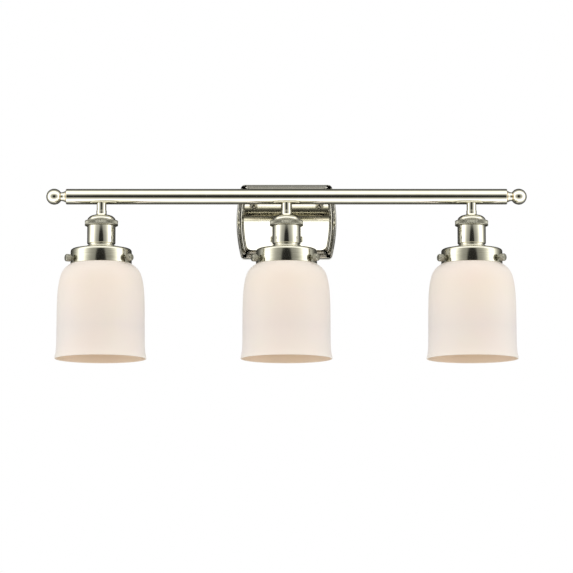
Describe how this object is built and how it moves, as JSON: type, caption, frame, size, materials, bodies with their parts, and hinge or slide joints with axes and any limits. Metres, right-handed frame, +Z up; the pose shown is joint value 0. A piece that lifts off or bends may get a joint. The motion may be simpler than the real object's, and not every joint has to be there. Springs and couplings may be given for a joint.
{
  "type": "vanity light bar",
  "caption": "Wall-mounted vanity light: a round bar with ball finials carries downward lamps with matte opal bell shades, in polished and brushed nickel.",
  "frame": {"origin": "centre of the outlet box on the wall, in the plane of the mounting bracket's back face", "axes": "+X along the bar, +Z up, -Y out of the wall towards the room"},
  "size_m": [0.6602, 0.1649, 0.256],
  "materials": {
    "polished_nickel": "polished nickel plate",
    "brushed_nickel": "satin nickel, brushed round the axis",
    "knurled_nickel": "matte nickel over a fine knurl",
    "opal_glass": "matte white opal, blown",
    "frosted_glass": "frosted, lamp white",
    "nickel_plated_brass": "rolled and plated",
    "bare_brass": "bright, unlacquered",
    "phenolic": "moulded",
    "zinc_steel": "zinc plated",
    "green_zinc_steel": "green chromate",
    "black_pvc": "extruded",
    "white_pvc": "extruded",
    "green_pvc": "extruded",
    "orange_thermoplastic": "moulded"
  },
  "bodies": {
    "fixture": {"mounting_bracket": "zinc_steel", "ground_screw": "green_zinc_steel", "mounting_studs": "zinc_steel", "stud_lock_nuts": "zinc_steel", "cap_nuts": "polished_nickel", "back_plate": "polished_nickel", "arm_tube": "polished_nickel", "arm_lock_nut": "zinc_steel", "arm_lock_washer": "zinc_steel", "bar_tube": "polished_nickel", "bar_end_plugs": "bare_brass", "finial_left": "polished_nickel", "finial_right": "polished_nickel", "leads_black": "black_pvc", "leads_white": "white_pvc", "ground_wire": "green_pvc", "wire_nuts": "orange_thermoplastic", "lamp_nipples": "zinc_steel", "stem_ferrules": "polished_nickel", "collar_nuts": "bare_brass", "centre_contacts": "bare_brass", "left_stem": "polished_nickel", "left_socket_cap": "polished_nickel", "left_socket_cup": "polished_nickel", "left_shade_collar": "brushed_nickel", "left_socket_body": "phenolic", "left_screw_shell": "bare_brass", "centre_stem": "polished_nickel", "centre_socket_cap": "polished_nickel", "centre_socket_cup": "polished_nickel", "centre_shade_collar": "brushed_nickel", "centre_socket_body": "phenolic", "centre_screw_shell": "bare_brass", "right_stem": "polished_nickel", "right_socket_cap": "polished_nickel", "right_socket_cup": "polished_nickel", "right_shade_collar": "brushed_nickel", "right_socket_body": "phenolic", "right_screw_shell": "bare_brass"},
    "left_ring": {"left_knurled_ring": "knurled_nickel"},
    "left_shade": {"left_glass_shade": "opal_glass"},
    "left_bulb": {"left_bulb_globe": "frosted_glass", "left_bulb_cap": "nickel_plated_brass"},
    "left_screw_front_left": {"left_thumbscrew_front_left": "knurled_nickel"},
    "left_screw_front_right": {"left_thumbscrew_front_right": "knurled_nickel"},
    "left_screw_rear": {"left_thumbscrew_rear": "knurled_nickel"},
    "centre_ring": {"centre_knurled_ring": "knurled_nickel"},
    "centre_shade": {"centre_glass_shade": "opal_glass"},
    "centre_bulb": {"centre_bulb_globe": "frosted_glass", "centre_bulb_cap": "nickel_plated_brass"},
    "centre_screw_front_left": {"centre_thumbscrew_front_left": "knurled_nickel"},
    "centre_screw_front_right": {"centre_thumbscrew_front_right": "knurled_nickel"},
    "centre_screw_rear": {"centre_thumbscrew_rear": "knurled_nickel"},
    "right_ring": {"right_knurled_ring": "knurled_nickel"},
    "right_shade": {"right_glass_shade": "opal_glass"},
    "right_bulb": {"right_bulb_globe": "frosted_glass", "right_bulb_cap": "nickel_plated_brass"},
    "right_screw_front_left": {"right_thumbscrew_front_left": "knurled_nickel"},
    "right_screw_front_right": {"right_thumbscrew_front_right": "knurled_nickel"},
    "right_screw_rear": {"right_thumbscrew_rear": "knurled_nickel"}
  },
  "joints": [
    {"name": "left_ring_turn", "type": "hinge", "parent": "fixture", "child": "left_ring", "pos_m": [-0.254, -0.1016, -0.016], "axis": [0, 0, 1], "range_deg": [0, 720]},
    {"name": "left_shade_drop", "type": "slide", "parent": "fixture", "child": "left_shade", "axis": [0, 0, -1], "range_m": [0, 0.15]},
    {"name": "left_bulb_draw", "type": "slide", "parent": "fixture", "child": "left_bulb", "axis": [0, 0, -1], "range_m": [0, 0.185]},
    {"name": "left_screw_front_left_back_off", "type": "slide", "parent": "fixture", "child": "left_screw_front_left", "axis": [-0.8988, -0.4384, 0], "range_m": [0, 0.003]},
    {"name": "left_screw_front_right_back_off", "type": "slide", "parent": "fixture", "child": "left_screw_front_right", "axis": [0.829, -0.5592, 0], "range_m": [0, 0.003]},
    {"name": "left_screw_rear_back_off", "type": "slide", "parent": "fixture", "child": "left_screw_rear", "axis": [0.0698, 0.9976, 0], "range_m": [0, 0.003]},
    {"name": "centre_ring_turn", "type": "hinge", "parent": "fixture", "child": "centre_ring", "pos_m": [0, -0.1016, -0.016], "axis": [0, 0, 1], "range_deg": [0, 720]},
    {"name": "centre_shade_drop", "type": "slide", "parent": "fixture", "child": "centre_shade", "axis": [0, 0, -1], "range_m": [0, 0.15]},
    {"name": "centre_bulb_draw", "type": "slide", "parent": "fixture", "child": "centre_bulb", "axis": [0, 0, -1], "range_m": [0, 0.185]},
    {"name": "centre_screw_front_left_back_off", "type": "slide", "parent": "fixture", "child": "centre_screw_front_left", "axis": [-0.8988, -0.4384, 0], "range_m": [0, 0.003]},
    {"name": "centre_screw_front_right_back_off", "type": "slide", "parent": "fixture", "child": "centre_screw_front_right", "axis": [0.829, -0.5592, 0], "range_m": [0, 0.003]},
    {"name": "centre_screw_rear_back_off", "type": "slide", "parent": "fixture", "child": "centre_screw_rear", "axis": [0.0698, 0.9976, 0], "range_m": [0, 0.003]},
    {"name": "right_ring_turn", "type": "hinge", "parent": "fixture", "child": "right_ring", "pos_m": [0.254, -0.1016, -0.016], "axis": [0, 0, 1], "range_deg": [0, 720]},
    {"name": "right_shade_drop", "type": "slide", "parent": "fixture", "child": "right_shade", "axis": [0, 0, -1], "range_m": [0, 0.15]},
    {"name": "right_bulb_draw", "type": "slide", "parent": "fixture", "child": "right_bulb", "axis": [0, 0, -1], "range_m": [0, 0.185]},
    {"name": "right_screw_front_left_back_off", "type": "slide", "parent": "fixture", "child": "right_screw_front_left", "axis": [-0.8988, -0.4384, 0], "range_m": [0, 0.003]},
    {"name": "right_screw_front_right_back_off", "type": "slide", "parent": "fixture", "child": "right_screw_front_right", "axis": [0.829, -0.5592, 0], "range_m": [0, 0.003]},
    {"name": "right_screw_rear_back_off", "type": "slide", "parent": "fixture", "child": "right_screw_rear", "axis": [0.0698, 0.9976, 0], "range_m": [0, 0.003]}
  ]
}
